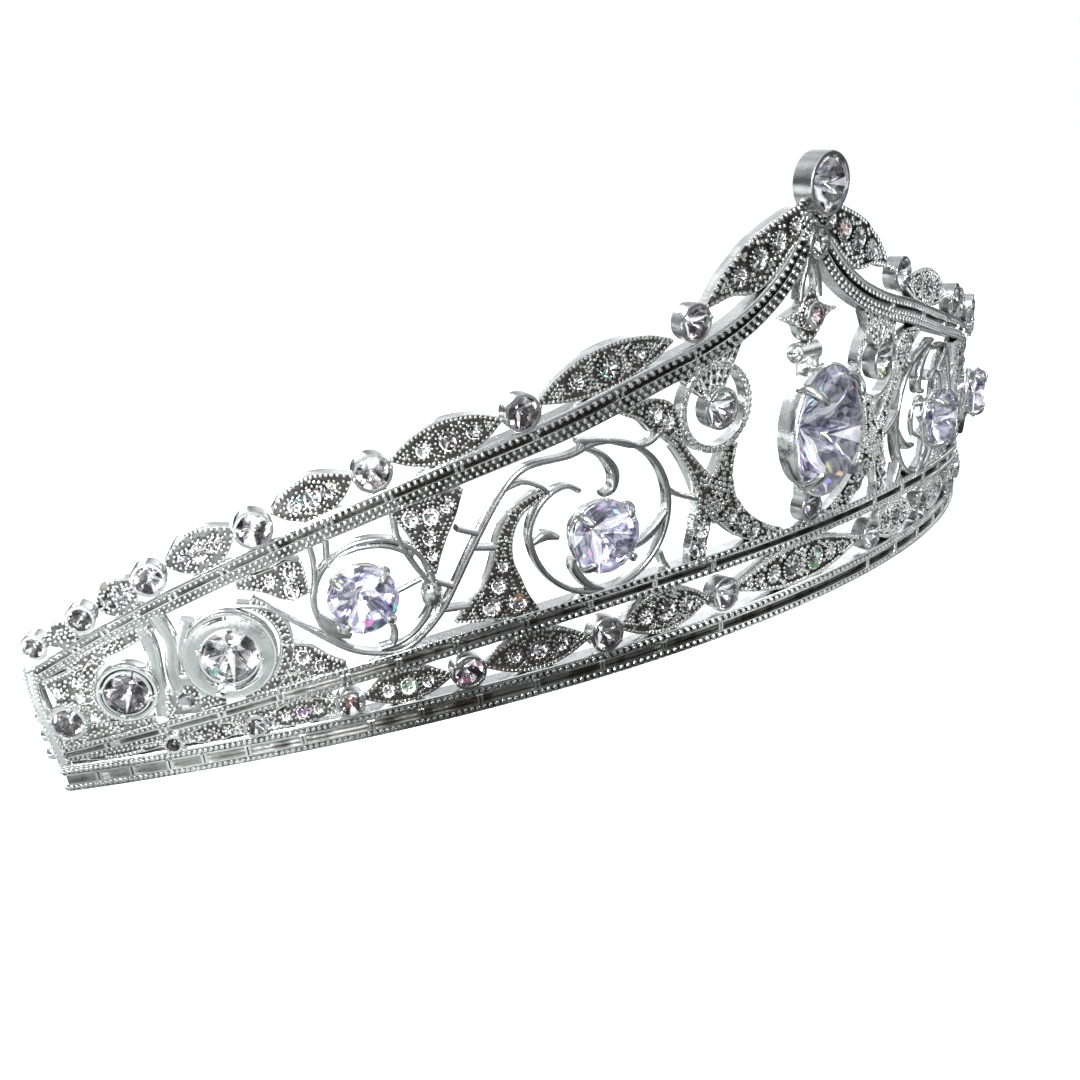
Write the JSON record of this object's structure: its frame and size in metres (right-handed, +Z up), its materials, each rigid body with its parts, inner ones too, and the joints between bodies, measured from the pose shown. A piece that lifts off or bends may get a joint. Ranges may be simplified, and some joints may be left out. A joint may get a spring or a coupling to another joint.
{
  "type": "bridal tiara",
  "caption": "Curved openwork bridal tiara with beaded rails, scrolls, claw-set round stones, a scalloped crest and an oval pendant in a pointed arch.",
  "frame": {"origin": "centre of the bounding box, on the level foot of the base rail", "axes": "+Z up, front towards -Y, +X to the right of someone facing the front; the two halves mirror across X = 0"},
  "size_m": [0.1626, 0.0468, 0.0518],
  "materials": {
    "polished_metal": "bright polished silver-coloured plating",
    "beaded_metal": "polished plating with bead rows, darkened in the grooves",
    "set_metal": "bright-cut plating between small set stones",
    "clear_stone": "cut and polished clear stone",
    "lavender_stone": "cut and polished stone with a faint lavender tint"
  },
  "bodies": {
    "root": {"apex_bezels": "polished_metal", "apex_stones": "lavender_stone", "base_rail": "beaded_metal", "centre_bezels": "polished_metal", "centre_leaf": "set_metal", "centre_stones": "clear_stone", "crest_bezels_left": "polished_metal", "crest_bezels_right": "polished_metal", "crest_leaves_left": "set_metal", "crest_leaves_right": "set_metal", "crest_stones_left": "clear_stone", "crest_stones_right": "clear_stone", "drop_bezels_left": "polished_metal", "drop_bezels_right": "polished_metal", "drop_ring_left": "set_metal", "drop_ring_right": "set_metal", "drop_stones_left": "clear_stone", "drop_stones_right": "clear_stone", "end_bar_left": "beaded_metal", "end_bar_right": "beaded_metal", "hourglass_left": "set_metal", "hourglass_right": "set_metal", "kite_link": "set_metal", "large_claw_setting_left": "polished_metal", "large_claw_setting_right": "polished_metal", "large_round_stones_left": "lavender_stone", "large_round_stones_right": "lavender_stone", "lower_bezels_left": "polished_metal", "lower_bezels_right": "polished_metal", "lower_leaves_left": "set_metal", "lower_leaves_right": "set_metal", "lower_stones_left": "clear_stone", "lower_stones_right": "clear_stone", "main_scroll_left": "polished_metal", "main_scroll_right": "polished_metal", "middle_rail": "beaded_metal", "neck_loop": "polished_metal", "open_bars_left": "polished_metal", "open_bars_right": "polished_metal", "outer_cups_left": "polished_metal", "outer_cups_right": "polished_metal", "outer_stones_left": "clear_stone", "outer_stones_right": "clear_stone", "pendant_links": "polished_metal", "pendant_oval_stone": "lavender_stone", "pendant_setting": "polished_metal", "scroll_straps_left": "polished_metal", "scroll_straps_right": "polished_metal", "second_claw_setting_left": "polished_metal", "second_claw_setting_right": "polished_metal", "second_ring_left": "polished_metal", "second_ring_right": "polished_metal", "second_round_stones_left": "lavender_stone", "second_round_stones_right": "lavender_stone", "set_panels_left": "set_metal", "set_panels_right": "set_metal", "small_stones_left": "clear_stone", "small_stones_right": "clear_stone", "upper_rail_left": "beaded_metal", "upper_rail_right": "beaded_metal"}
  },
  "joints": []
}
